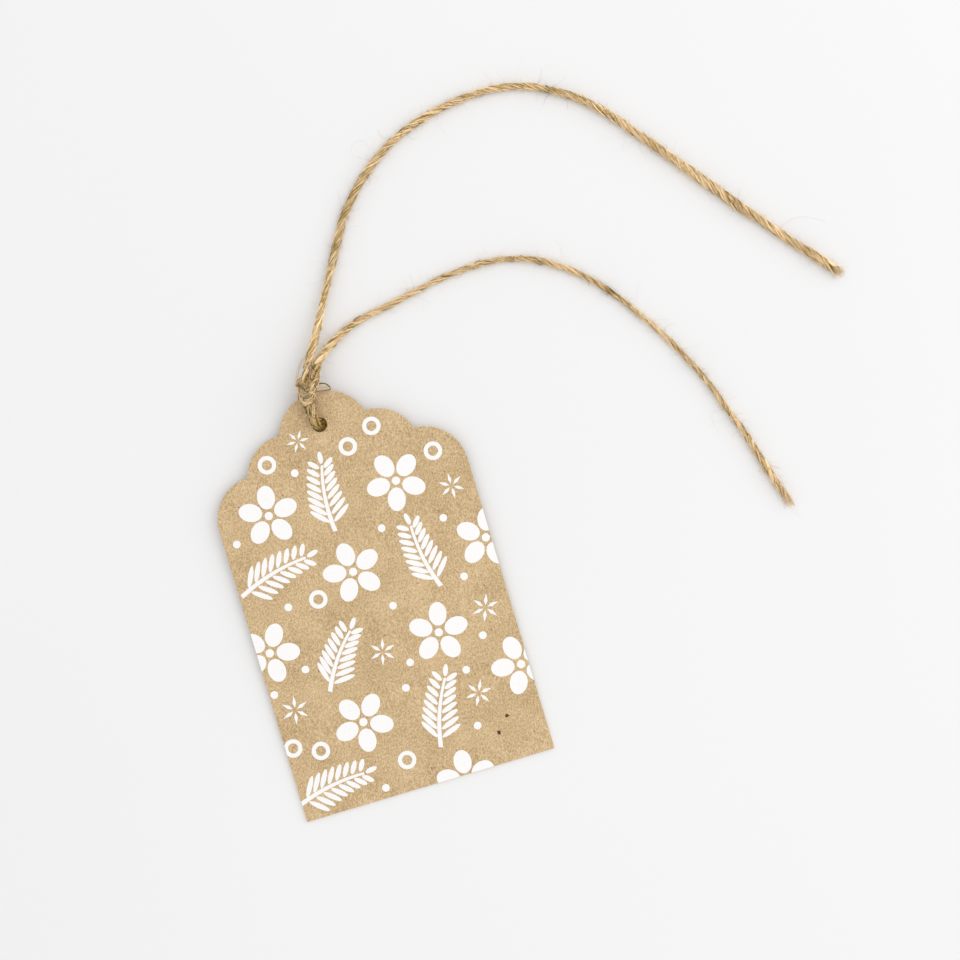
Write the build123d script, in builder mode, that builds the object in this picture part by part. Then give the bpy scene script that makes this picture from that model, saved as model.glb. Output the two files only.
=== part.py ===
from math import asin, cos, pi, radians, sin, sqrt, tan
import os

from build123d import *

# Card
card_width = 50.0
card_height = 79.5
card_thickness = 0.5
head_span = 17.4
head_drop = 6.3
middle_span = 33.5
middle_drop = 12.2
scallop_radius = 8.0
shoulder_height = 8.5
hole_diameter = 2.9
hole_drop = 6.4
hole_shift = -0.5

# Twine, thinner where the knot pulls it tight
tight_diameter = 1.2
loose_diameter = 1.7
cord_sides = 12
fillet_share = 0.45

# Gaps that keep the loop off the card and off itself
seat_gap = 0.3
turn_gap = 0.5
turn_spacing = 0.8

# Knot: one strand turns about the other, past the middle of the head's edge
knot_shift = 1.2
knot_reach = 2.0
back_shift = 0.4
turns_start = 0.5
turns_slant = 0.8
turns_drift = 0.42
turn_corners = 7
corners_per_turn = 4
first_corner_share = 5 / 8

# Where the two ends leave the knot: across, past the head's edge and above the front strand
long_exit = (0.95, 5.6, -0.1)
short_exit = (3.3, 5.0, 0.05)
long_first_run = 6.5
short_first_run = 4.0

# Routes of the tails on the table after the first run: across and past the head's edge
long_route = [
    (9.9, 21.4), (16.8, 33.7), (27.1, 42.0), (40.2, 46.4), (53.7, 46.6),
    (65.7, 40.6), (75.9, 28.7), (90.2, 9.7), (104.5, -7.0),
]
short_route = [
    (11.4, 10.8), (21.1, 12.4), (33.0, 14.6), (44.3, 14.5), (54.6, 9.1),
    (62.8, 0.1), (72.2, -15.2), (78.0, -31.5), (80.3, -40.4), (82.5, -46.8),
]

# Fineness of the printed gap measurement
gap_step = 0.1
gap_skip_diameters = 3

os.makedirs("parts", exist_ok=True)

tight_radius = tight_diameter / 2
loose_radius = loose_diameter / 2
hole_height = card_height - hole_drop
strand_shift = hole_diameter / 2 - tight_radius - seat_gap
front_level = card_thickness + seat_gap + tight_radius
back_level = -seat_gap - tight_radius

# The lower edge lies on the table and the head is propped up by the strand behind it
lift = asin((tight_diameter + seat_gap) / hole_height)
card_plane = Plane(
    origin=(0, -card_height * cos(lift) / 2, 0), x_dir=(1, 0, 0), z_dir=(0, -sin(lift), cos(lift))
)
head_edge = card_plane.from_local_coords((0, card_height, 0))
head_plane = Plane(origin=head_edge, x_dir=card_plane.x_dir, z_dir=card_plane.z_dir)


def corner_radii(points):
    """Radius of each corner of a route, as large as its two runs allow."""
    radii = []
    for before, corner, after in zip(points, points[1:], points[2:]):
        half_turn = radians((corner - before).get_angle(after - corner)) / 2
        shorter_run = min((corner - before).length, (after - corner).length)
        radii.append(fillet_share * shorter_run / tan(half_turn))
    return radii


def knot_corners():
    """Corners of the turns that one strand takes about the other, from below and to the left."""
    half_side = tight_diameter + turn_gap
    pitch = tight_diameter + turn_spacing
    corners = []
    for k in range(turn_corners):
        turned = k / corners_per_turn
        angle = 2 * pi * (first_corner_share - turned)
        across = half_side * sqrt(2) * cos(angle)
        above = half_side * sqrt(2) * sin(angle)
        past_edge = turns_start + pitch * turned - turns_slant * above / half_side
        corners.append((across - knot_shift + turns_drift * turned, past_edge, front_level + above))
    return corners


def exit_point(across, past_edge, above_front):
    """Place where one end of the twine leaves the knot, from the middle of the head's edge."""
    return (across, past_edge, front_level + above_front)


def loop_points():
    """Route of the loop: from the long tail, through the hole, round the knot to the short tail."""
    local = [
        exit_point(*long_exit),
        (-knot_shift, knot_reach, front_level),
        (hole_shift - strand_shift, -hole_drop, front_level),
        (hole_shift - strand_shift, -hole_drop, back_level),
        (-back_shift, turns_start + turns_slant, back_level),
        *knot_corners(),
        exit_point(*short_exit),
    ]
    return [head_plane.from_local_coords(point) for point in local]


def tail_points(before_end, end, first_run, route):
    """Route of a tail: straight on from the knot, then down and along the table."""
    onward = (end - before_end).normalized()
    points = [end, end + onward * first_run]
    for across, past_edge in route:
        points.append(Vector(head_edge.X + across, head_edge.Y + past_edge, loose_radius))
    return points


def least_gap(path, diameter):
    """Least gap of a tube to itself, on points along its path."""
    count = int(path.length / gap_step)
    samples = [path.position_at(i / count) for i in range(count + 1)]
    skip = int(gap_skip_diameters * diameter / gap_step)
    nearest = path.length
    for i, point in enumerate(samples):
        for other in samples[i + skip:]:
            nearest = min(nearest, (other - point).length)
    return nearest - diameter


def report_tube(name, tube, path, points, section):
    """Print a tube's radii and length, and its volume against section times length."""
    print(name, "radii", [round(radius, 1) for radius in corner_radii(points)])
    print(name, "length", round(path.length, 2), "volume", round(tube.volume, 3),
          "section times length", round(section.area * path.length, 3))


# Card: half of the scalloped outline, mirrored, with the hole
with BuildPart() as tag_card:
    with BuildSketch(card_plane):
        with BuildLine():
            outer_notch = (middle_span / 2, card_height - middle_drop)
            inner_notch = (head_span / 2, card_height - head_drop)
            side_top = (card_width / 2, card_height - middle_drop - shoulder_height)
            Polyline((0, 0), (card_width / 2, 0), side_top)
            TangentArc(side_top, outer_notch, tangent=(0, 1))
            RadiusArc(outer_notch, inner_notch, -scallop_radius)
            mirror(about=Plane.YZ)
            ThreePointArc(inner_notch, (0, card_height), (-head_span / 2, card_height - head_drop))
        make_face()
        with Locations((hole_shift, hole_height)):
            Circle(hole_diameter / 2, mode=Mode.SUBTRACT)
    extrude(amount=card_thickness)
tag_card.part.label = "tag_card"
export_step(tag_card.part, "parts/tag_card.step")

# Knotted loop: one unbroken tube through the hole and round the front strand
loop_route = loop_points()
with BuildPart() as knotted_loop:
    with BuildLine() as loop_path:
        FilletPolyline(*loop_route, radius=corner_radii(loop_route))
    with BuildSketch(Plane(loop_path.line @ 0, z_dir=loop_path.line % 0)) as loop_section:
        RegularPolygon(tight_radius, cord_sides)
    sweep(path=loop_path.line)
knotted_loop.part.label = "knotted_loop"
export_step(knotted_loop.part, "parts/knotted_loop.step")
report_tube("knotted_loop", knotted_loop.part, loop_path.wire(), loop_route, loop_section.sketch)
print("knotted_loop least gap to itself", round(least_gap(loop_path.wire(), tight_diameter), 3))

# Tails: each goes on from one end of the loop, face to face with it
long_tail_route = tail_points(loop_route[1], loop_route[0], long_first_run, long_route)
with BuildPart() as long_tail:
    with BuildLine() as long_path:
        FilletPolyline(*long_tail_route, radius=corner_radii(long_tail_route))
    with BuildSketch(Plane(long_path.line @ 0, z_dir=long_path.line % 0)) as long_section:
        RegularPolygon(loose_radius, cord_sides)
    sweep(path=long_path.line)
long_tail.part.label = "long_tail"
export_step(long_tail.part, "parts/long_tail.step")
report_tube("long_tail", long_tail.part, long_path.wire(), long_tail_route, long_section.sketch)

short_tail_route = tail_points(loop_route[-2], loop_route[-1], short_first_run, short_route)
with BuildPart() as short_tail:
    with BuildLine() as short_path:
        FilletPolyline(*short_tail_route, radius=corner_radii(short_tail_route))
    with BuildSketch(Plane(short_path.line @ 0, z_dir=short_path.line % 0)) as short_section:
        RegularPolygon(loose_radius, cord_sides)
    sweep(path=short_path.line)
short_tail.part.label = "short_tail"
export_step(short_tail.part, "parts/short_tail.step")
report_tube("short_tail", short_tail.part, short_path.wire(), short_tail_route, short_section.sketch)
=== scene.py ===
from math import asin, cos, pi, radians, sin, sqrt
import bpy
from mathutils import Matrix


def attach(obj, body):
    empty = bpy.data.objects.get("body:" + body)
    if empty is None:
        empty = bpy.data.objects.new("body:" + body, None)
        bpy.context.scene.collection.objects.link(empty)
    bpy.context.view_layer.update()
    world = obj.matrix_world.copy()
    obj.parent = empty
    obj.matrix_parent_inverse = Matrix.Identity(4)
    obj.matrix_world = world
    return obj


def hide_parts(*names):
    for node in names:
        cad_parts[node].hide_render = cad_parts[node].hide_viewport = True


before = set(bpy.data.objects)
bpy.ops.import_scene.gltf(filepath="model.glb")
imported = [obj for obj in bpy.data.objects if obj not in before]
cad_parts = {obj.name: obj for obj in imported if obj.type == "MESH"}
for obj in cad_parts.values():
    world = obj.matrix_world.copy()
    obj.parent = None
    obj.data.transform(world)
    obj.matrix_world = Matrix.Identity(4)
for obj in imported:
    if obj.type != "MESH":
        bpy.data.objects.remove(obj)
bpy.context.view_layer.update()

from types import SimpleNamespace

import bmesh
import bpy
import numpy as np
from mathutils import Matrix, Vector

# Lengths are in metres, angles in degrees unless a name says otherwise.

# Camera, straight above the table and rolled as in the photograph
view_centre = (0.0261, 0.0142)
view_height = 0.3305
view_roll = -16.67
view_lens = 63.8

# Table, a soft window to the right, and the room
table_size = 16.0
table_drop = 0.00002
window_distance = 0.8
window_heading = 8
window_elevation = 38
window_size = 0.7
window_power = 1.8
room_strength = 0.9
background_strength = 0.93

# Card and hole
card_width = 0.050
card_height = 0.0795
card_thickness = 0.0005
hole_drop = 0.0064
edge_wear = 0.00005
edge_wear_segments = 2
edge_wear_angle = 50

# Seats of the two strands in the hole
tight_diameter = 0.0012
seat_gap = 0.0003

# Knot, drawn tight and seated on the head's edge
knot_shift = 0.0012
knot_level = 0.0020
knot_seat = (-0.0009, 0.0016, 0.0022)
strand_bend = (-0.0012, -0.0030, 0.0019)
front_seat = (-0.00115, -0.0064, 0.0015)
back_seat = (0.0001, -0.0065, -0.00085)
back_rise = (-0.0004, 0.0010, -0.0009)
turns_start = -0.0007
turns_slant = 0.0018
turns_drift = 0.00048
turn_half_side = 0.00105
turn_growth = 0.00012
turn_pitch = 0.00185
turn_corners = 7
corners_per_turn = 4
first_corner_share = 5 / 8

# Ends of the loop: across, past the head's edge and above the card's back
long_exit = (0.0009, 0.0056, 0.0013)
short_exit = (0.0020, 0.0046, 0.00145)

# Tails: across and past the head's edge, with the first point's height above the table
long_lead = (0.0043, 0.0112, 0.0024)
short_lead = (0.0056, 0.0078, 0.0016)
long_level = 0.00078
short_level = 0.00064
long_route = [
    (0.0099, 0.0214), (0.0168, 0.0337), (0.0271, 0.0420), (0.0402, 0.0464), (0.0537, 0.0466),
    (0.0657, 0.0406), (0.0759, 0.0287), (0.0902, 0.0097), (0.1045, -0.0070),
]
short_route = [
    (0.0114, 0.0108), (0.0211, 0.0124), (0.0330, 0.0146), (0.0443, 0.0145), (0.0546, 0.0091),
    (0.0628, 0.0001), (0.0722, -0.0152), (0.0780, -0.0315), (0.0803, -0.0404), (0.0825, -0.0468),
]

# Smooth curves along the routes
route_order = 3
route_resolution = 24
upright_share = 0.9
spare_knots = 3

# Twine: thickness against the way from each exit, or the share of the loop
long_thickness = [
    (0, 0.0017), (0.004, 0.0015), (0.01, 0.00115), (0.02, 0.00135), (0.038, 0.00145), (0.05, 0.0013),
    (0.072, 0.0012), (0.088, 0.00138), (0.1, 0.00134), (0.108, 0.00158), (0.116, 0.0018),
    (0.124, 0.00172), (0.133, 0.0014), (0.147, 0.0018),
]
short_thickness = [
    (0, 0.0015), (0.006, 0.00138), (0.012, 0.0013), (0.02, 0.00102), (0.028, 0.0009), (0.043, 0.0009),
    (0.051, 0.00107), (0.067, 0.00088), (0.075, 0.00072), (0.083, 0.00084), (0.091, 0.00096),
    (0.098, 0.00082), (0.107, 0.00126), (0.119, 0.00122),
]
loop_thickness_shares = [
    (0, 0.0017), (0.1, 0.0015), (0.17, 0.0014), (0.24, 0.0017), (0.31, 0.0019), (0.35, 0.0018),
    (0.4, 0.0012), (0.5, 0.0011), (0.56, 0.0012), (0.75, 0.0014), (0.93, 0.0015), (1, 0.0015),
]
twine_step = 0.0002
tail_every = 2
ply_count = 2
ply_pitch = 0.0105
pitch_spread_share = 0.2
pitch_spread_spacing = 0.021
ply_offset_share = 0.15
ply_depth_share = 0.3
ply_breadth_share = 0.4
core_sides = 10
core_share = 0.92
# The core's darker tone is painted shade between the fibres.
core_shade_tone = 0.85
bundles = 14
bundle_sides = 4
bundle_radius_shares = (0.045, 0.11)
bundle_lengths = (0.003, 0.010)
bundle_tip = 0.0009
bundle_tip_share = 0.35
bundle_lift = 0.0004
bundle_lift_power = 3
bundle_lift_reach = 0.0027
bundle_wander = 0.6
bundle_wander_spacing = 0.003
bundle_rise_share = 0.1
bundle_sink_share = 0.4
bundle_jitter_share = 0.3
bundle_least_steps = 3
bundle_overlap_steps = 4
bundle_tones = (0.70, 1.56)
knot_bundle_tones = (0.78, 1.36)
dark_bundle_share = 0.13
# The knot's larger share of dark bundles is partly its own darker fibres and partly painted shade in the
# tight knot.
knot_dark_and_shade_share = 0.28
dark_bundle_tone = 0.44
# Bundles in the groove on a ply's inner side are darkened: painted shade in the groove.
groove_shade_tone = 0.92
groove_shade_clear_share = 0.7
lump_spacing = 0.0028
lump_share = 0.09
wobble_spacing = 0.006
wobble = 0.0001
end_fade = 0.0026
floor_clearance = 0.00002

# Colours of the twine, from olive brown to pale straw, and of its paler loose fibres
twine_colours = [
    (0.34, (0.45, 0.31, 0.14)), (0.46, (0.77, 0.58, 0.34)), (0.56, (0.91, 0.72, 0.46)),
    (0.68, (0.98, 0.88, 0.68)),
]
fuzz_colours = [
    (0.34, (0.44, 0.35, 0.23)), (0.5, (0.68, 0.57, 0.42)), (0.68, (0.87, 0.79, 0.65)),
]

# Fibre coordinates: streaks round a ply, streaks to the metre along it, and random offsets
streaks_round = 4.0
streaks_along = 260.0
fibre_offset_most = 40

# Darker places on the twine, its own dark spots and, last, painted shade where it goes down through the
# hole: across, past the head's edge, height, half length and tone
dark_spots_and_painted_shade = [
    (0.06095, 0.04295, 0.00085, 0.0012, 0.62), (0.01545, 0.0313, 0.00085, 0.0009, 0.66),
    (0.01188, 0.0261, 0.00085, 0.0009, 0.7), (0.0608, 0.0028, 0.00085, 0.0011, 0.42),
    # Painted shade on the twine in the hole
    (-0.0004, -0.0065, 0.0016, 0.0024, 0.42),
]

# Loose fibres: burrs that roughen the twine, hairs, wisps and frayed ends
fibre_sides = 3
fibre_tip_share = 0.5
curl_change_share = 0.5
burrs_per_metre = 16000
burr_radii = (0.000018, 0.00004)
burr_lengths = (0.0006, 0.0016)
burr_leans = (10, 50)
burr_tones = (0.85, 1.6)
burr_steps = 4
hairs_per_metre = 3400
knot_hairs = 300
hair_radius = 0.00002
hair_radius_shares = (0.7, 1.4)
hair_clearance = 0.00004
hair_length_shape = 2
hair_length_scale = 0.00075
hair_shortest = 0.00075
hair_longest = 0.006
hair_leans = (3, 38)
hair_tone = 1.1
hair_steps = 6
hair_curl = 0.26
hair_root_share = 0.34
wisps_per_metre = 110
wisp_radius = 0.000012
wisp_lengths = (0.004, 0.009)
wisp_leans = (15, 60)
wisp_steps = 14
wisp_curl = 0.2
end_hairs = 60
end_hair_radius = 0.00004
end_hair_radius_shares = (0.6, 1.3)
end_hair_tone = 1.05
end_hair_back = 0.004
end_hair_past = 0.0012
end_hair_spread = 0.18
end_hair_curl = 0.04
end_hair_reach_share = 0.42
seed = 11

# Surface fibres, pale and dark: count to the metre, ranges of length, radius, tone and turn to the metre
streak_reach_share = 0.52
tail_streaks = [
    (3600, (0.0010, 0.0026), (0.00003, 0.00007), (1.1, 1.75), (200, 1100)),
    (3600, (0.0008, 0.0022), (0.00003, 0.00006), (0.26, 0.55), (200, 1100)),
]
knot_streaks = [
    (2600, (0.0010, 0.0030), (0.00004, 0.00008), (0.85, 1.4), (-1700, 1700)),
    # Dark fibres on the knot, partly its own tone and partly painted shade in the tight knot
    (10500, (0.0005, 0.0014), (0.00006, 0.00012), (0.18, 0.42), (-1700, 1700)),
]

# Stray fibres: radius, tone, count, spread, and places across, past the head's edge and above the table
tail_strays = [
    (0.000025, 0.9, 1, 0, [
        (0.0242, 0.0384, 0.0012), (0.0228, 0.0404, 0.0016), (0.0206, 0.0411, 0.0014),
        (0.0204, 0.0432, 0.0008), (0.0220, 0.0445, 0.0006), (0.0238, 0.0438, 0.0008),
        (0.0240, 0.0417, 0.0012),
    ]),
    (0.000025, 0.9, 1, 0, [
        (0.0213, 0.0352, 0.0012), (0.0228, 0.0364, 0.0014), (0.0239, 0.0367, 0.0012),
        (0.0240, 0.0360, 0.0010),
    ]),
    (0.000025, 0.9, 1, 0, [
        (0.0957, 0.0045, 0.0012), (0.0981, 0.0058, 0.0020), (0.1015, 0.0050, 0.0022),
        (0.1044, 0.0031, 0.0018),
    ]),
]

# Stray fibres round the knot, in the same form
knot_strays = [
    # Arcs on the knot's left
    (0.00004, 0.9, 6, 0.00026, [
        (-0.0022, 0.0008, 0.0036), (-0.0020, 0.0032, 0.0036), (-0.0008, 0.0056, 0.0034),
        (0.0006, 0.0070, 0.0030),
    ]),
    # Fibres between the tails
    (0.00007, 1.05, 36, 0.00028, [
        (-0.0004, 0.0006, 0.0043), (0.0004, 0.0026, 0.0039), (0.0010, 0.0046, 0.0034),
        (0.0020, 0.0066, 0.0026),
    ]),
    # Dark outline, painted shadow along its edges, and pale middle of a small bight on the right
    (0.00008, 0.2, 4, 0.00006, [
        (0.0006, 0.0008, 0.0038), (0.0018, 0.0011, 0.0035), (0.0026, 0.0010, 0.0033),
        (0.0033, 0.0005, 0.0031), (0.0037, -0.0005, 0.0029), (0.0034, -0.0006, 0.0029),
        (0.0019, -0.0004, 0.0031), (0.0008, -0.0003, 0.0035), (0.0000, 0.0000, 0.0038),
    ]),
    (0.00009, 1.1, 18, 0.00016, [
        (0.0002, 0.0004, 0.0038), (0.0012, 0.0005, 0.0034), (0.0023, 0.0003, 0.0031),
        (0.0033, -0.0002, 0.0029),
    ]),
    # Dark edge of the strand to the hole, painted shadow on its left flank
    (0.00008, 0.22, 20, 0.00013, [
        (-0.0021, -0.0020, 0.0030), (-0.0021, -0.0036, 0.0026), (-0.0020, -0.0050, 0.0024),
        (-0.0018, -0.0062, 0.0023),
    ]),
    # Pale and dark fibres down over the turns
    (0.00005, 0.95, 22, 0.0003, [
        (-0.0022, 0.0024, 0.0042), (-0.0017, 0.0014, 0.0053), (-0.0009, 0.0000, 0.0056),
        (-0.0006, -0.0010, 0.0050), (-0.0008, -0.0020, 0.0038),
    ]),
    (0.00007, 0.25, 12, 0.00025, [
        (-0.0019, 0.0019, 0.0050), (-0.0012, 0.0006, 0.0055), (-0.0006, -0.0006, 0.0053),
    ]),
    # Dark fibres that show at the hole's lower right: painted shade of the twine inside the hole
    (0.00009, 0.42, 16, 0.00014, [
        (-0.0012, -0.0073, 0.0013), (-0.0003, -0.0077, 0.0013), (0.0007, -0.0072, 0.0013),
        (0.0010, -0.0062, 0.0013), (0.0005, -0.0053, 0.0013),
    ]),
]
stray_step = 0.0003

# White print: motif sizes
ink_thickness = 0.00002
ink_sink = 0.000005
ink_column = 0.001
blossom_radius = 0.0062
petal_count = 5
petal_centre_share = 0.58
petal_length_share = 0.37
petal_width_share = 0.28
blossom_eye_share = 0.13
sprig_stem_width = 0.0009
sprig_tip_width = 0.0005
sprig_bow_share = 0.05
stem_steps = 12
needle_pairs = 8
needle_longest = 0.0046
needle_shortest = 0.0024
needle_width = 0.0010
needle_gap = 0.0006
needle_angle = 50
needle_spare_share = 0.6
needle_points = 16
star_rays = 6
ray_width_share = 0.26
ray_start_share = 0.16
ray_middle_share = 0.5
ring_radius = 0.0018
ring_hole_share = 0.55
dot_radius = 0.00075
curve_points = 28

# White print: places on the card, across and up from its lower edge, then turn and length or size
blossoms = [
    (-0.0150, 0.0590, 10), (0.0105, 0.0585, 40), (0.0240, 0.0430, 0), (-0.0025, 0.0440, 25),
    (-0.0225, 0.0335, 60), (0.0100, 0.0280, 5), (-0.0090, 0.0155, 50), (0.0235, 0.0175, 30),
    (0.0070, -0.0010, 15),
]
sprigs = [
    (-0.0245, 0.0455, 15, 0.0145), (0.0130, 0.0365, 100, 0.0130), (-0.0135, 0.0230, 55, 0.0125),
    (0.0040, 0.0065, 70, 0.0135), (-0.0255, 0.0035, 10, 0.0140), (-0.0035, 0.0525, 85, 0.0130),
]
stars = [
    (0.0200, 0.0300, 10, 0.0028), (0.0205, 0.0545, 30, 0.0026), (-0.0055, 0.0712, 0, 0.0023),
    (-0.0210, 0.0215, 20, 0.0028), (0.0140, 0.0145, 5, 0.0027), (-0.0015, 0.0275, 15, 0.0027),
]
rings = [
    (0.0035, 0.0675), (-0.0125, 0.0685), (0.0090, 0.0700), (0.0190, 0.0620), (-0.0105, 0.0408),
    (-0.0235, 0.0145), (-0.0030, 0.0060), (-0.0185, 0.0125),
]
dots = [
    (-0.0078, 0.0655), (0.0052, 0.0505), (0.0172, 0.0490), (0.0178, 0.0370), (0.0030, 0.0355),
    (-0.0165, 0.0410), (-0.0168, 0.0285), (0.0180, 0.0250), (0.0008, 0.0195), (-0.0240, 0.0255),
    (-0.0085, 0.0020), (0.0130, 0.0195), (-0.0225, 0.0555), (0.0120, 0.0085), (0.0030, 0.0240),
]

# Two dark flecks in the board: across, up, and the corners of each about its middle
flecks = [
    (0.0180, 0.0087, [(-0.00046, 0.00003), (-0.00008, -0.00036), (0.00047, -0.00010), (0.00012, 0.00038)]),
    (0.0156, 0.0060, [(-0.00034, 0.00040), (-0.00022, -0.00034), (0.00018, -0.00046), (0.00038, 0.00030)]),
]
fleck_thickness = 0.00003

# Surfaces: roughness and specular level, then strength and depth of the bumps
kraft_surface = (0.9, 0.15)
ink_surface = (0.7, 0.25)
jute_surface = (0.75, 0.2)
fleck_surface = (0.85, 0.15)
table_surface = (0.9, 0.1)
kraft_bump = (0.5, 0.00006)
ink_bump = (0.25, 0.00004)
jute_bump = (0.6, 0.00008)

# Noise in the materials: scale, detail and roughness, and turn and stretch where it has a grain
cloud_noise = (160, 3)
fine_noise = (8200, 2, 0.6)
mottle_noise = (1, 4, 0.65)
mottle_grain = (8, (3600, 2200, 3000))
board_fibre_noise = (1, 1)
board_fibre_stretch = (7000, 850, 3000)
cut_noise = (1, 3)
cut_grain = (0, (900, 900, 9000))
fleck_noise = (6000, 3)
table_noise = (6, 2)
streak_noise = (1, 4, 0.6)
patch_noise = (0.23, 2)
hue_noise = (0.6, 2)

# Kraft board: shares of mottle, fine noise and clouds, and colours against their sum
kraft_shares = (0.5, 0.36, 0.14)
kraft_colours = [
    (0.4, (0.415, 0.281, 0.136)), (0.5, (0.622, 0.446, 0.248)), (0.6, (0.815, 0.612, 0.37)),
]

# Fibres in the board: direction, least noise, colour and strength, then the width of their soft edges
board_fibres = [
    (12, 0.66, (0.36, 0.22, 0.10, 1), 0.55), (68, 0.67, (0.38, 0.235, 0.11, 1), 0.5),
    (121, 0.67, (0.36, 0.22, 0.10, 1), 0.5), (160, 0.68, (0.86, 0.70, 0.47, 1), 0.5),
]
board_fibre_edge = 0.06

# Specks in the board: cells to the metre, soft edge, choice of cells, strength and colour
speck_cells = 900
speck_edge = (0.17, 0.1)
speck_choice = (0.86, 0.9)
speck_share = 0.7
speck_colour = (0.22, 0.125, 0.06, 1)

# The board's cut edge, its layered grain painted pale as a highlight where the edge catches light: its
# colours, and the range of the normal's upright share where it begins
cut_edge_and_highlight_colours = [(0.35, (0.52, 0.37, 0.21)), (0.65, (0.80, 0.64, 0.43))]
cut_edge_and_highlight_upright_shares = (0.9, 0.6)

# Ink, flecks and table: colours against noise
ink_colours = [(0.3, (0.88, 0.85, 0.79)), (0.42, (0.955, 0.945, 0.935))]
fleck_colours = [(0.35, (0.05, 0.025, 0.012)), (0.7, (0.16, 0.085, 0.04))]
table_colours = [(0.3, (0.871725, 0.871725, 0.87615)), (0.7, (0.885, 0.885, 0.885))]

# Jute: shares of streaks and patches, saturation against tone, and hue against noise
jute_shares = (0.65, 0.35)
jute_saturation_range = (0.2, 1.0, 1.95, 1.0)
jute_hue_range = (0.3, 0.7, 0.484, 0.516)

# Larger unit for the cutting of the print, whose layers are too thin for metres
cutting_scale = 1000.0
weld_distance = 0.000001

lift = asin((tight_diameter + seat_gap) / (card_height - hole_drop))
up_the_card = np.array((0, cos(lift), sin(lift)))
out_of_card = np.array((0, -sin(lift), cos(lift)))
head_edge = np.array((0, card_height * cos(lift) / 2, card_height * sin(lift)))
random = np.random.default_rng(seed)


def card_point(across, past_edge, above):
    """Place from the middle of the head's edge: across, past it in the card's plane, above the back."""
    return head_edge + np.array((across, 0, 0)) + up_the_card * past_edge + out_of_card * above


def table_point(across, past_edge, height):
    """Place from the middle of the head's edge along the table, at a height above the table."""
    return np.array((across, head_edge[1] + past_edge, height))


def new_object(name, data):
    """An object in the scene for a mesh, a lamp or a camera."""
    made = bpy.data.objects.new(name, data)
    bpy.context.collection.objects.link(made)
    return made


# Twine: route, line and plies

def knot_corners():
    """Corners of the turns that the short strand takes about the long one."""
    corners = []
    for k in range(turn_corners):
        taken = k / corners_per_turn
        angle = 2 * pi * (first_corner_share - taken)
        half_side = turn_half_side + turn_growth * taken
        across = half_side * sqrt(2) * cos(angle)
        above = half_side * sqrt(2) * sin(angle)
        past_edge = turns_start + turn_pitch * taken - turns_slant * above / half_side
        corners.append((across - knot_shift + turns_drift * taken, past_edge, knot_level + above))
    return corners


def loop_route():
    """Control points of the loop: from the long tail, through the hole, round the knot."""
    local = [
        long_exit, knot_seat, strand_bend, front_seat, back_seat, back_rise, *knot_corners(), short_exit,
    ]
    return [card_point(*place) for place in local]


def tail_route(lead, route, level):
    """Control points of a tail past its exit."""
    return [table_point(*lead)] + [table_point(*place, level) for place in route]


def spline_points(control):
    """Points along the smooth curve that a list of control points draws."""
    curve = bpy.data.curves.new("route", "CURVE")
    curve.dimensions = "3D"
    curve.resolution_u = route_resolution
    spline = curve.splines.new("NURBS")
    spline.points.add(len(control) - 1)
    for point, place in zip(spline.points, control):
        point.co = (*place, 1)
    spline.order_u = route_order
    spline.use_endpoint_u = True
    carrier = bpy.data.objects.new("route", curve)
    mesh = bpy.data.meshes.new_from_object(carrier)
    points = np.array([vertex.co for vertex in mesh.vertices])
    bpy.data.objects.remove(carrier)
    bpy.data.curves.remove(curve)
    bpy.data.meshes.remove(mesh)
    return points


def even_points(points, step):
    """The same line with evenly spaced points, and each point's way along it."""
    runs = np.linalg.norm(np.diff(points, axis=0), axis=1)
    along = np.concatenate(([0], np.cumsum(runs)))
    places = np.linspace(0, along[-1], round(along[-1] / step) + 1)
    return np.stack([np.interp(places, along, points[:, axis]) for axis in range(3)], axis=1), places


def frames_along(points):
    """Tangents and two steady cross directions along a line."""
    tangents = np.gradient(points, axis=0)
    tangents /= np.linalg.norm(tangents, axis=1)[:, None]
    upright = (0, 0, 1) if abs(tangents[0][2]) < upright_share else (1, 0, 0)
    normal = np.cross(tangents[0], upright)
    normals = []
    for tangent in tangents:
        normal = normal - tangent * normal.dot(tangent)
        normal = normal / np.linalg.norm(normal)
        normals.append(normal)
    normals = np.array(normals)
    return tangents, normals, np.cross(tangents, normals)


def wander(places, spacing):
    """Smooth random values from -1 to 1 along a line, with a new one about every spacing."""
    knots = random.uniform(-1, 1, int(places[-1] / spacing) + spare_knots)
    at = places / spacing
    low = at.astype(int)
    share = at - low
    ease = share * share * (3 - 2 * share)
    return knots[low] * (1 - ease) + knots[low + 1] * ease


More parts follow.
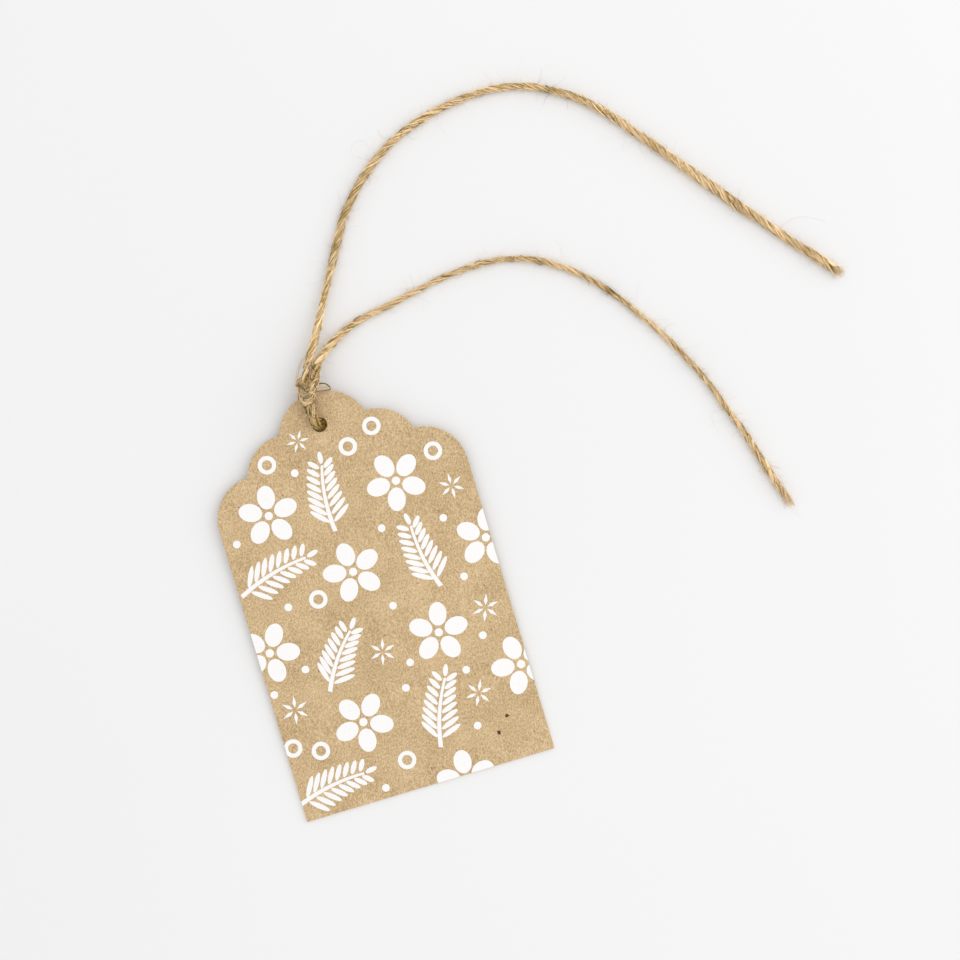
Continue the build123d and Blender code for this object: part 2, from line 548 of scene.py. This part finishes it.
def twine_line():
    """Line of the whole twine, from the long end to the short end, with what varies along it."""
    loop = loop_route()
    long_tail = tail_route(long_lead, long_route, long_level)
    short_tail = tail_route(short_lead, short_route, short_level)
    points, places = even_points(spline_points(long_tail[::-1] + loop + short_tail), twine_step)
    middle = int(np.argmin(np.linalg.norm(points - card_point(*back_seat), axis=1)))
    long_end = int(np.argmin(np.linalg.norm(points[:middle] - loop[0], axis=1)))
    short_start = middle + int(np.argmin(np.linalg.norm(points[middle:] - loop[-1], axis=1)))
    on_loop = (places - places[long_end]) / (places[short_start] - places[long_end])
    thickness = np.interp(on_loop, *zip(*loop_thickness_shares))
    long_way = places[long_end] - places
    short_way = places - places[short_start]
    thickness = np.where(long_way > 0, np.interp(long_way, *zip(*long_thickness)), thickness)
    thickness = np.where(short_way > 0, np.interp(short_way, *zip(*short_thickness)), thickness)
    thickness *= 1 + lump_share * wander(places, lump_spacing)
    tangents, normals, binormals = frames_along(points)
    sideways = np.cross(tangents, (0, 0, 1))
    free = np.clip(np.maximum(long_way, short_way) / wobble_spacing, 0, 1)
    points = points + sideways * (wobble * free * wander(places, wobble_spacing))[:, None]
    pitch = ply_pitch * (1 + pitch_spread_share * wander(places, pitch_spread_spacing))
    turns = np.cumsum(2 * pi * twine_step / pitch)
    tone = np.ones(len(points))
    for across, past_edge, height, half_length, dark in dark_spots_and_painted_shade:
        spot = table_point(across, past_edge, height)
        at = places[np.argmin(np.linalg.norm(points - spot, axis=1))]
        tone = tone * (1 - (1 - dark) * np.exp(-((places - at) / half_length) ** 2))
    to_end = np.minimum(places, places[-1] - places)
    return SimpleNamespace(
        points=points, places=places, tangents=tangents, normals=normals, binormals=binormals,
        thickness=thickness, turns=turns, tone=tone, to_end=to_end,
        exits=(loop[0], loop[-1]), splits=(long_end, short_start),
    )


class Strands:
    """Closed tubes gathered into one mesh, with fibre coordinates and a tone at each point."""

    def __init__(self):
        self.points, self.faces, self.fibres, self.tones = [], [], [], []
        self.count = 0

    def add(self, rings, fibres, tones):
        """One tube, from its rings of points, closed at both ends."""
        steps, sides = rings.shape[:2]
        grid = np.arange(steps * sides).reshape(steps, sides) + self.count
        ahead = np.roll(grid, -1, axis=1)
        quads = np.stack([grid[:-1], ahead[:-1], ahead[1:], grid[1:]], axis=-1)
        self.faces += quads.reshape(-1, 4).tolist()
        self.faces += [grid[0, ::-1].tolist(), grid[-1].tolist()]
        self.points.append(rings.reshape(-1, 3))
        self.fibres.append(np.broadcast_to(fibres, rings.shape).reshape(-1, 3))
        self.tones.append(np.broadcast_to(tones, (steps, sides)).reshape(-1))
        self.count += steps * sides

    def piece(self, name, material):
        """All the tubes as one mesh object."""
        mesh = bpy.data.meshes.new(name)
        mesh.from_pydata(np.concatenate(self.points).tolist(), [], self.faces)
        mesh.polygons.foreach_set("use_smooth", [True] * len(mesh.polygons))
        fibre = mesh.attributes.new("fibre", "FLOAT_VECTOR", "POINT")
        fibre.data.foreach_set("vector", np.concatenate(self.fibres).ravel())
        tone = mesh.attributes.new("tone", "FLOAT", "POINT")
        tone.data.foreach_set("value", np.concatenate(self.tones))
        mesh.materials.append(material)
        return new_object(name, mesh)


def add_core(strands, ply):
    """The inside of a ply, darkened as painted shade where it shows between its fibres."""
    part = ply.to_end >= end_fade
    size, places, tone = ply.size[part, None], ply.places[part, None], ply.tone[part, None]
    around = np.linspace(0, 2 * pi, core_sides, endpoint=False)[None, :]
    depth = (ply_offset_share + core_share * ply_depth_share * np.cos(around)) * size
    breadth = core_share * ply_breadth_share * np.sin(around) * size
    rings = ply.points[part, None] + ply.outward[part, None] * depth[..., None]
    rings = rings + ply.sideways[part, None] * breadth[..., None]
    rings[..., 2] = np.maximum(rings[..., 2], floor_clearance)
    fibres = np.stack(np.broadcast_arrays(
        streaks_round * np.cos(around), streaks_round * np.sin(around), streaks_along * places), axis=-1)
    strands.add(rings, fibres, core_shade_tone * tone)


def add_bundle(strands, ply, number):
    """One place for a bundle of fibres round a ply, filled by bundles that follow each other."""
    angle = 2 * pi * (number + random.uniform(-bundle_jitter_share, bundle_jitter_share)) / bundles
    angle = angle + bundle_wander * wander(ply.places, bundle_wander_spacing)
    rise = 1 + bundle_rise_share * (wander(ply.places, bundle_wander_spacing) - bundle_sink_share)
    c, s = np.cos(angle)[:, None], np.sin(angle)[:, None]
    out = ply.outward * c + ply.sideways * s
    side = ply.sideways * c - ply.outward * s
    depth = (ply_offset_share + ply_depth_share * np.cos(angle) * rise) * ply.size
    breadth = ply_breadth_share * np.sin(angle) * rise * ply.size
    centre = ply.points + ply.outward * depth[:, None] + ply.sideways * breadth[:, None]
    around = np.linspace(0, 2 * pi, bundle_sides, endpoint=False)[None, :, None]
    ring = out[:, None] * np.cos(around) + side[:, None] * np.sin(around)
    # Painted shade: bundles towards the groove between the plies are darker.
    groove_shade = groove_shade_tone + (1 - groove_shade_tone) * np.clip(groove_shade_clear_share + np.cos(angle), 0, 1)
    step = ply.places[1] - ply.places[0]
    first = 0
    while first < len(centre) - bundle_least_steps:
        last = min(first + int(random.uniform(*bundle_lengths) / step), len(centre))
        part = np.arange(first, last)
        first = last - random.integers(0, bundle_overlap_steps)
        part = part[ply.to_end[part] >= random.uniform(0, end_fade)]
        if len(part) < 2:
            continue
        places = ply.places[part]
        to_tip = np.minimum(places - places[0], places[-1] - places)
        radius = ply.size[part] * random.uniform(*bundle_radius_shares)
        full = np.clip(to_tip / bundle_tip, 0, 1)
        radius = radius * (bundle_tip_share + (1 - bundle_tip_share) * full)
        raised = bundle_lift * random.uniform(0, 1) ** bundle_lift_power
        raised = raised * np.clip(1 - to_tip / bundle_lift_reach, 0, 1) ** 2
        middle = centre[part] + out[part] * raised[:, None]
        rings = middle[:, None] + ring[part] * radius[:, None, None]
        rings[..., 2] = np.maximum(rings[..., 2], floor_clearance)
        tone = random.uniform(*ply.bundle_tones)
        if random.uniform() < ply.dark_share:
            tone = dark_bundle_tone
        offset = random.uniform(0, fibre_offset_most, 3)
        fibres = np.stack(np.broadcast_arrays(
            offset[0], offset[1] + np.cos(around[..., 0]),
            offset[2] + streaks_along * places[:, None]), axis=-1)
        strands.add(rings, fibres, (tone * ply.tone[part] * groove_shade[part])[:, None])


def add_plies(strands, line, first, last, every, tones, dark_share):
    """The plies of a stretch of the twine, twisted about its line."""
    part = np.unique(np.append(np.arange(first, last, every), last))
    for number in range(ply_count):
        turn = (line.turns[part] + 2 * pi * number / ply_count)[:, None]
        ply = SimpleNamespace(
            points=line.points[part], places=line.places[part], tone=line.tone[part],
            size=line.thickness[part], to_end=line.to_end[part],
            bundle_tones=tones, dark_share=dark_share,
            outward=line.normals[part] * np.cos(turn) + line.binormals[part] * np.sin(turn),
            sideways=line.binormals[part] * np.cos(turn) - line.normals[part] * np.sin(turn),
        )
        add_core(strands, ply)
        for bundle in range(bundles):
            add_bundle(strands, ply, bundle)


def add_fibre(strands, places, radius, tone):
    """One loose fibre along a few points, thinner to its tip."""
    _, normals, binormals = frames_along(places)
    around = np.linspace(0, 2 * pi, fibre_sides, endpoint=False)[:, None]
    out = normals[:, None] * np.cos(around) + binormals[:, None] * np.sin(around)
    radii = radius * np.linspace(1, fibre_tip_share, len(places))
    rings = places[:, None] + out * radii[:, None, None]
    strands.add(rings, random.uniform(0, fibre_offset_most, 3), tone)


def resting_height(place):
    """Least height of a fibre: the table's, or the card's face where it lies over the card."""
    if place[1] > head_edge[1] or abs(place[0]) > card_width / 2:
        return floor_clearance
    up = place[1] - head_edge[1]
    return head_edge[2] + up * sin(lift) + card_thickness


def curl_away(place, heading, length, steps, amount):
    """Points of a fibre that sets off from a place and curls."""
    curl = random.normal(size=3) * amount
    places = [place]
    for _ in range(steps):
        curl = curl + random.normal(size=3) * amount * curl_change_share
        heading = heading + curl
        heading = heading / np.linalg.norm(heading)
        place = place + heading * length / steps
        place[2] = max(place[2], resting_height(place) + hair_clearance)
        places.append(place)
    return np.array(places)


def stand_off(line, first, last, leans):
    """A place near the twine's surface, a heading that leans off it, and the twine's tone there."""
    k = random.integers(first, last)
    around = random.uniform(0, 2 * pi)
    lean = radians(random.uniform(*leans))
    out = line.normals[k] * cos(around) + line.binormals[k] * sin(around)
    heading = line.tangents[k] * random.choice((-1, 1)) * cos(lean) + out * sin(lean)
    return line.points[k] + out * line.thickness[k] * hair_root_share, heading, line.tone[k]


def add_burrs(strands, line, first, last):
    """Stubby fibres in the twine's own colours that roughen its surface."""
    for _ in range(int((line.places[last] - line.places[first]) * burrs_per_metre)):
        root, heading, tone = stand_off(line, first, last, burr_leans)
        places = curl_away(root, heading, random.uniform(*burr_lengths), burr_steps, hair_curl)
        add_fibre(strands, places, random.uniform(*burr_radii), random.uniform(*burr_tones) * tone)


def add_hairs(strands, line, first, last, count):
    """Short fibres that stand off the twine."""
    for _ in range(count):
        root, heading, tone = stand_off(line, first, last, hair_leans)
        length = min(random.gamma(hair_length_shape, hair_length_scale) + hair_shortest, hair_longest)
        places = curl_away(root, heading, length, hair_steps, hair_curl)
        radius = hair_radius * random.uniform(*hair_radius_shares)
        add_fibre(strands, places, radius, hair_tone * tone)


def add_wisps(strands, line, first, last, count):
    """A few long thin fibres."""
    for _ in range(count):
        root, heading, tone = stand_off(line, first, last, wisp_leans)
        places = curl_away(root, heading, random.uniform(*wisp_lengths), wisp_steps, wisp_curl)
        add_fibre(strands, places, wisp_radius, hair_tone * tone)


def add_frayed_end(strands, line, k, onward):
    """Fibres that splay past a cut end."""
    for _ in range(end_hairs):
        back = int(random.uniform(0, end_hair_back) / twine_step)
        at = k - onward * back
        around = random.uniform(0, 2 * pi)
        reach = line.thickness[at] * end_hair_reach_share * sqrt(random.uniform(0, 1))
        out = line.normals[at] * cos(around) + line.binormals[at] * sin(around)
        heading = line.tangents[at] * onward + out * random.uniform(0, end_hair_spread)
        length = back * twine_step + random.uniform(-end_hair_past, end_hair_past)
        root = line.points[at] + out * reach
        places = curl_away(root, heading, max(length, end_hair_past), hair_steps, end_hair_curl)
        radius = end_hair_radius * random.uniform(*end_hair_radius_shares)
        add_fibre(strands, places, radius, end_hair_tone)


def add_streaks(strands, line, first, last, streaks):
    """Short pale and dark fibres that lie on the twine's surface."""
    for per_metre, lengths, radii, tones, turn_rates in streaks:
        for _ in range(int((line.places[last] - line.places[first]) * per_metre)):
            steps = int(random.uniform(*lengths) / twine_step)
            k = random.integers(first, last - steps)
            part = np.arange(k, k + steps)
            turn = random.uniform(*turn_rates) * (line.places[part] - line.places[k])
            around = (random.uniform(0, 2 * pi) + turn)[:, None]
            out = line.normals[part] * np.cos(around) + line.binormals[part] * np.sin(around)
            places = line.points[part] + out * (streak_reach_share * line.thickness[part])[:, None]
            radius = random.uniform(*radii)
            places[:, 2] = np.maximum(places[:, 2], floor_clearance + radius)
            add_fibre(strands, places, radius, random.uniform(*tones) * line.tone[k])


def add_strays(strands, strays):
    """Stray fibres whose course shows in the photograph, some as a tuft."""
    for radius, tone, count, spread, route in strays:
        for _ in range(count):
            control = [table_point(*place) + random.normal(size=3) * spread for place in route]
            points, _ = even_points(spline_points(control), stray_step)
            add_fibre(strands, points, radius, tone)


# Materials

def add_node(tree, kind, sockets=None, **settings):
    """A shader node with its settings, and its sockets set or linked."""
    node = tree.nodes.new(kind)
    for name, value in settings.items():
        setattr(node, name, value)
    for key, value in (sockets or {}).items():
        if isinstance(value, bpy.types.NodeSocket):
            tree.links.new(value, node.inputs[key])
        else:
            node.inputs[key].default_value = value
    return node


def new_material(name, roughness, specular):
    """A material with its main shader."""
    material = bpy.data.materials.new(name)
    material.use_nodes = True
    tree = material.node_tree
    shader = tree.nodes["Principled BSDF"]
    shader.inputs["Roughness"].default_value = roughness
    shader.inputs["Specular IOR Level"].default_value = specular
    return material, tree, shader


def noise(tree, vector, scale, detail=2.0, roughness=0.5):
    """Smooth noise from 0 to 1."""
    sockets = {"Vector": vector, "Scale": scale, "Detail": detail, "Roughness": roughness}
    return add_node(tree, "ShaderNodeTexNoise", sockets).outputs["Fac"]


def ramp(tree, value, stops):
    """Colours against a value."""
    node = add_node(tree, "ShaderNodeValToRGB", {"Fac": value})
    elements = node.color_ramp.elements
    while len(elements) < len(stops):
        elements.new(0.5)
    for element, (position, colour) in zip(elements, stops):
        element.position = position
        element.color = (*colour, 1)
    return node.outputs["Color"]


def remap(tree, value, low, high, to_low=0.0, to_high=1.0):
    """A value carried from one range to another and held inside it."""
    sockets = {"Value": value, "From Min": low, "From Max": high, "To Min": to_low, "To Max": to_high}
    return add_node(tree, "ShaderNodeMapRange", sockets, clamp=True).outputs["Result"]


def maths(tree, operation, first, second):
    """Two values put together by an operation."""
    return add_node(tree, "ShaderNodeMath", {0: first, 1: second}, operation=operation).outputs[0]


def blend(tree, values, shares):
    """Sum of values, each times its share."""
    parts = [maths(tree, "MULTIPLY", value, share) for value, share in zip(values, shares)]
    total = parts[0]
    for part in parts[1:]:
        total = maths(tree, "ADD", total, part)
    return total


def mix(tree, share, below, above):
    """Blend of two colours."""
    node = add_node(tree, "ShaderNodeMix", {0: share, 6: below, 7: above}, data_type="RGBA")
    return node.outputs[2]


def turned(tree, vector, angle, scale):
    """Coordinates turned about Z, then stretched."""
    rotated = add_node(tree, "ShaderNodeMapping", {"Vector": vector, "Rotation": (0, 0, radians(angle))})
    return add_node(tree, "ShaderNodeMapping", {"Vector": rotated.outputs[0], "Scale": scale}).outputs[0]


def object_place(tree):
    """A piece's own coordinates."""
    return add_node(tree, "ShaderNodeTexCoord").outputs["Object"]


def set_bump(tree, shader, height, strength, depth):
    """Small unevenness on a surface."""
    bump = add_node(tree, "ShaderNodeBump", {"Height": height, "Strength": strength, "Distance": depth})
    tree.links.new(bump.outputs[0], shader.inputs["Normal"])


def board_mottle(tree, place):
    """The board's mottle, which shows through the ink too."""
    return noise(tree, turned(tree, place, *mottle_grain), *mottle_noise)


def kraft_material():
    """Recycled kraft board: cloudy, mottled, with short fibres and specks, paler on its cut edge as a
    painted highlight.
    """
    material, tree, shader = new_material("kraft_board", *kraft_surface)
    place = object_place(tree)
    mottle = board_mottle(tree, place)
    fine = noise(tree, place, *fine_noise)
    cloud = noise(tree, place, *cloud_noise)
    level = blend(tree, (mottle, fine, cloud), kraft_shares)
    colour = ramp(tree, level, kraft_colours)
    for angle, low, tint, share in board_fibres:
        fibre = noise(tree, turned(tree, place, angle, board_fibre_stretch), *board_fibre_noise)
        mask = remap(tree, fibre, low, low + board_fibre_edge)
        colour = mix(tree, maths(tree, "MULTIPLY", mask, share), colour, tint)
    cells = add_node(tree, "ShaderNodeTexVoronoi", {"Vector": place, "Scale": speck_cells})
    chosen = add_node(tree, "ShaderNodeSeparateColor", {0: cells.outputs["Color"]}).outputs[0]
    spot = remap(tree, cells.outputs["Distance"], *speck_edge)
    speck = maths(tree, "MULTIPLY", spot, remap(tree, chosen, *speck_choice))
    colour = mix(tree, maths(tree, "MULTIPLY", speck, speck_share), colour, speck_colour)
    normal = add_node(tree, "ShaderNodeNewGeometry").outputs["Normal"]
    upright = add_node(tree, "ShaderNodeSeparateXYZ", {0: normal}).outputs["Z"]
    level_share = add_node(tree, "ShaderNodeMath", {0: upright}, operation="ABSOLUTE").outputs[0]
    layers = noise(tree, turned(tree, place, *cut_grain), *cut_noise)
    # Painted highlight: the cut edge and bevels take a paler colour.
    cut = ramp(tree, layers, cut_edge_and_highlight_colours)
    colour = mix(tree, remap(tree, level_share, *cut_edge_and_highlight_upright_shares), colour, cut)
    tree.links.new(colour, shader.inputs["Base Color"])
    set_bump(tree, shader, level, *kraft_bump)
    return material


def ink_material():
    """White ink, with a little of the board's fibre showing."""
    material, tree, shader = new_material("white_ink", *ink_surface)
    thin = board_mottle(tree, object_place(tree))
    tree.links.new(ramp(tree, thin, ink_colours), shader.inputs["Base Color"])
    set_bump(tree, shader, thin, *ink_bump)
    return material


def jute_material(name, colours):
    """Jute: streaks along its fibres in a few colours, browner where its tone is darker."""
    material, tree, shader = new_material(name, *jute_surface)
    fibre = add_node(tree, "ShaderNodeAttribute", attribute_name="fibre").outputs["Vector"]
    streak = noise(tree, fibre, *streak_noise)
    patch = noise(tree, fibre, *patch_noise)
    colour = ramp(tree, blend(tree, (streak, patch), jute_shares), colours)
    tone = add_node(tree, "ShaderNodeAttribute", attribute_name="tone").outputs["Fac"]
    toned = add_node(tree, "ShaderNodeVectorMath", {0: colour, "Scale": tone}, operation="SCALE")
    depth = remap(tree, tone, *jute_saturation_range)
    hue = remap(tree, noise(tree, fibre, *hue_noise), *jute_hue_range)
    sockets = {"Color": toned.outputs[0], "Saturation": depth, "Hue": hue}
    browned = add_node(tree, "ShaderNodeHueSaturation", sockets).outputs["Color"]
    tree.links.new(browned, shader.inputs["Base Color"])
    set_bump(tree, shader, streak, *jute_bump)
    return material


def fleck_material():
    """Bark flecks in the board."""
    material, tree, shader = new_material("bark_fleck", *fleck_surface)
    grain = noise(tree, object_place(tree), *fleck_noise)
    tree.links.new(ramp(tree, grain, fleck_colours), shader.inputs["Base Color"])
    return material


def table_material():
    """Plain pale table, with the least unevenness."""
    material, tree, shader = new_material("pale_table", *table_surface)
    haze = noise(tree, object_place(tree), *table_noise)
    tree.links.new(ramp(tree, haze, table_colours), shader.inputs["Base Color"])
    return material


# White print

def turn_and_place(points, across, up, angle):
    """Outline points turned and moved to a place on the card."""
    c, s = cos(radians(angle)), sin(radians(angle))
    return [(across + c * x - s * y, up + s * x + c * y) for x, y in points]


def ellipse(centre, length, width, count=curve_points):
    """Outline of an ellipse along X."""
    angles = [2 * pi * k / count for k in range(count)]
    return [(centre + length * cos(angle), width * sin(angle)) for angle in angles]


def disc(radius):
    """Outline of a round spot."""
    return ellipse(0, radius, radius)


def blossom_outlines():
    """Petals round an eye."""
    length = blossom_radius * petal_length_share
    width = blossom_radius * petal_width_share
    petal = ellipse(blossom_radius * petal_centre_share, length, width)
    turns = [360 * k / petal_count for k in range(petal_count)]
    eye = disc(blossom_radius * blossom_eye_share)
    return [turn_and_place(petal, 0, 0, turn) for turn in turns] + [eye]


def sprig_outlines(length):
    """A bowed stem with needles on both sides."""
    bow = length * sprig_bow_share

    def stem(share):
        return length * share, bow * 4 * share * (1 - share)

    def stem_side(side):
        points = []
        for k in range(stem_steps + 1):
            along, aside = stem(k / stem_steps)
            width = sprig_stem_width + (sprig_tip_width - sprig_stem_width) * k / stem_steps
            points.append((along, aside + side * width / 2))
        return points

    outlines = [stem_side(1)[::-1] + stem_side(-1)]
    for k in range(needle_pairs):
        share = (k + 1) / (needle_pairs + needle_spare_share)
        reach = (needle_longest + (needle_shortest - needle_longest) * share) / 2
        for side in (-1, 1):
            needle = ellipse(needle_gap + reach, reach, needle_width / 2, needle_points)
            outlines.append(turn_and_place(needle, *stem(share), side * needle_angle))
    reach = needle_shortest / 2
    tip = ellipse(needle_gap / 2 + reach, reach, needle_width / 2, needle_points)
    outlines.append(turn_and_place(tip, *stem(1), 0))
    return outlines


def star_outlines(radius):
    """Slim rays about a small gap."""
    half_width = radius * ray_width_share / 2
    start, middle = radius * ray_start_share, radius * ray_middle_share
    ray = [(start, 0), (middle, -half_width), (radius, 0), (middle, half_width)]
    return [turn_and_place(ray, 0, 0, 360 * k / star_rays) for k in range(star_rays)]


def print_outlines():
    """Outlines of the whole print, each with the outline of its hole or None."""
    motifs = [(place, blossom_outlines()) for place in blossoms]
    motifs += [(place, sprig_outlines(length)) for *place, length in sprigs]
    motifs += [(place, star_outlines(radius)) for *place, radius in stars]
    outlines = [(turn_and_place(outline, *place), None) for place, motif in motifs for outline in motif]
    for place in rings:
        outer = turn_and_place(disc(ring_radius), *place, 0)
        outlines.append((outer, turn_and_place(disc(ring_radius * ring_hole_share), *place, 0)))
    return outlines + [(turn_and_place(disc(dot_radius), *place, 0), None) for place in dots]


def add_column(bm, outline, hole, low, high):
    """A column on the card's face over an outline, with its hole if it has one."""
    def level(points, above):
        return [bm.verts.new(card_point(x, y - card_height, above)) for x, y in points]

    def join(first, second):
        for k in range(len(first)):
            bm.faces.new((first[k - 1], first[k], second[k], second[k - 1]))

    bottom, top = level(outline, low), level(outline, high)
    join(bottom, top)
    if hole is None:
        bm.faces.new(bottom[::-1])
        bm.faces.new(top)
        return
    inner_bottom, inner_top = level(hole, low), level(hole, high)
    join(inner_top, inner_bottom)
    join(top, inner_top)
    join(inner_bottom, bottom)


def mesh_object(name, bm):
    """An object with the mesh that was built, its faces turned outward."""
    bmesh.ops.recalc_face_normals(bm, faces=bm.faces)
    mesh = bpy.data.meshes.new(name)
    bm.to_mesh(mesh)
    bm.free()
    return new_object(name, mesh)


def cutting_object(name, bm):
    """A mesh object at the cutting scale."""
    bmesh.ops.scale(bm, vec=(cutting_scale,) * 3, verts=bm.verts)
    return mesh_object(name, bm)


def make_print(material):
    """The white print: columns cut by the card's own outline and hole, raised by the ink's thickness."""
    columns = bmesh.new()
    for outline, hole in print_outlines():
        add_column(columns, outline, hole, card_thickness - ink_sink, card_thickness + ink_column)
    piece = cutting_object("white_print", columns)
    card = bmesh.new()
    card.from_mesh(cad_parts["tag_card"].data)
    bmesh.ops.remove_doubles(card, verts=card.verts, dist=weld_distance)
    bmesh.ops.translate(card, vec=Vector(out_of_card * ink_thickness), verts=card.verts)
    cutter = cutting_object("cutter", card)
    cut = piece.modifiers.new("cut", "BOOLEAN")
    cut.operation = "INTERSECT"
    cut.solver = "EXACT"
    cut.use_self = True
    cut.object = cutter
    depsgraph = bpy.context.evaluated_depsgraph_get()
    mesh = bpy.data.meshes.new_from_object(piece.evaluated_get(depsgraph))
    mesh.transform(Matrix.Scale(1 / cutting_scale, 4))
    mesh.name = "white_print"
    piece.modifiers.clear()
    piece.data = mesh
    bpy.data.objects.remove(cutter)
    mesh.materials.clear()
    mesh.materials.append(material)
    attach(piece, "card")


def make_flecks(material):
    """Two dark flecks in the card's face."""
    bm = bmesh.new()
    for across, up, corners in flecks:
        outline = turn_and_place(corners, across, up, 0)
        add_column(bm, outline, None, card_thickness - ink_sink, card_thickness + fleck_thickness)
    piece = mesh_object("board_flecks", bm)
    piece.data.materials.append(material)
    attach(piece, "card")


def dress_card(material):
    """The card keeps its solid, with worn edges and the board's material."""
    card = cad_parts["tag_card"]
    card.data.materials.clear()
    card.data.materials.append(material)
    weld = card.modifiers.new("weld", "WELD")
    weld.merge_threshold = weld_distance
    # The bevelled edges take the pale cut colour, a painted highlight.
    wear = card.modifiers.new("wear", "BEVEL")
    wear.width = edge_wear
    wear.segments = edge_wear_segments
    wear.limit_method = "ANGLE"
    wear.angle_limit = radians(edge_wear_angle)


# Twine pieces

def make_twine(twine, loose):
    """The knotted loop and both tails, each with its loose fibres, as one run of twine."""
    line = twine_line()
    long_end, short_start = line.splits
    last = len(line.points) - 1
    stretches = {
        "twine_long": ("long_tail", 0, long_end, tail_every, bundle_tones, dark_bundle_share),
        "twine_knot": ("knotted_loop", long_end, short_start, 1, knot_bundle_tones, knot_dark_and_shade_share),
        "twine_short": ("short_tail", short_start, last, tail_every, bundle_tones, dark_bundle_share),
    }
    ends = {"twine_long": (0, -1), "twine_short": (last, 1)}
    pieces = {}
    for name, (node, first, final, every, tones, dark_share) in stretches.items():
        plies = Strands()
        add_plies(plies, line, first, final, every, tones, dark_share)
        add_burrs(plies, line, first, final)
        if name in ends:
            add_streaks(plies, line, first, final, tail_streaks)
            add_frayed_end(plies, line, *ends[name])
        else:
            add_streaks(plies, line, first, final, knot_streaks)
            add_strays(plies, knot_strays)
        pieces[name] = plies.piece(name, twine)
        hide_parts(node)
    fuzz = {name: Strands() for name in stretches}
    add_hairs(fuzz["twine_long"], line, 0, long_end, int(line.places[long_end] * hairs_per_metre))
    add_hairs(fuzz["twine_knot"], line, long_end, short_start, knot_hairs)
    short_length = line.places[last] - line.places[short_start]
    add_hairs(fuzz["twine_short"], line, short_start, last, int(short_length * hairs_per_metre))
    add_wisps(fuzz["twine_long"], line, 0, long_end, int(line.places[long_end] * wisps_per_metre))
    add_wisps(fuzz["twine_short"], line, short_start, last, int(short_length * wisps_per_metre))
    add_strays(fuzz["twine_long"], tail_strays)
    for name, strands in fuzz.items():
        pieces[name + "_fuzz"] = strands.piece(name + "_fuzz", loose)
    for piece in pieces.values():
        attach(piece, "twine")


# Stage

def make_table(material):
    """A plain table under the tag."""
    half = table_size / 2
    corners = [(-half, -half), (half, -half), (half, half), (-half, half)]
    mesh = bpy.data.meshes.new("table")
    mesh.from_pydata([(x, y, -table_drop) for x, y in corners], [], [(0, 1, 2, 3)])
    mesh.materials.append(material)
    table = new_object("table", mesh)


def make_window():
    """A large soft lamp to the right of the photograph."""
    lamp = bpy.data.lights.new("window", "AREA")
    lamp.shape = "SQUARE"
    lamp.size = window_size
    lamp.energy = window_power
    window = new_object("window", lamp)
    heading, elevation = radians(window_heading), radians(window_elevation)
    towards = Vector((cos(heading) * cos(elevation), sin(heading) * cos(elevation), sin(elevation)))
    window.location = Vector((*view_centre, 0)) + towards * window_distance
    window.rotation_euler = towards.to_track_quat("Z", "Y").to_euler()


def make_room():
    """Even light from the room, and a pale background to the camera."""
    world = bpy.data.worlds.new("room")
    bpy.context.scene.world = world
    world.use_nodes = True
    tree = world.node_tree
    rays = add_node(tree, "ShaderNodeLightPath").outputs
    seen = maths(tree, "MAXIMUM", rays["Is Camera Ray"], rays["Is Glossy Ray"])
    seen = maths(tree, "MAXIMUM", seen, rays["Is Transmission Ray"])
    strength = remap(tree, seen, 0, 1, room_strength, background_strength)
    background = tree.nodes["Background"]
    background.inputs["Color"].default_value = (1, 1, 1, 1)
    tree.links.new(strength, background.inputs["Strength"])


def make_camera():
    """The photograph's view, straight down."""
    lens = bpy.data.cameras.new("camera")
    lens.lens = view_lens
    camera = new_object("camera", lens)
    camera.location = (*view_centre, view_height)
    camera.rotation_euler = (0, 0, radians(view_roll))
    bpy.context.scene.camera = camera


make_camera()
make_twine(jute_material("jute_twine", twine_colours), jute_material("jute_fuzz", fuzz_colours))
dress_card(kraft_material())
make_print(ink_material())
make_flecks(fleck_material())
make_table(table_material())
make_window()
make_room()
bpy.context.scene.view_settings.view_transform = "Standard"
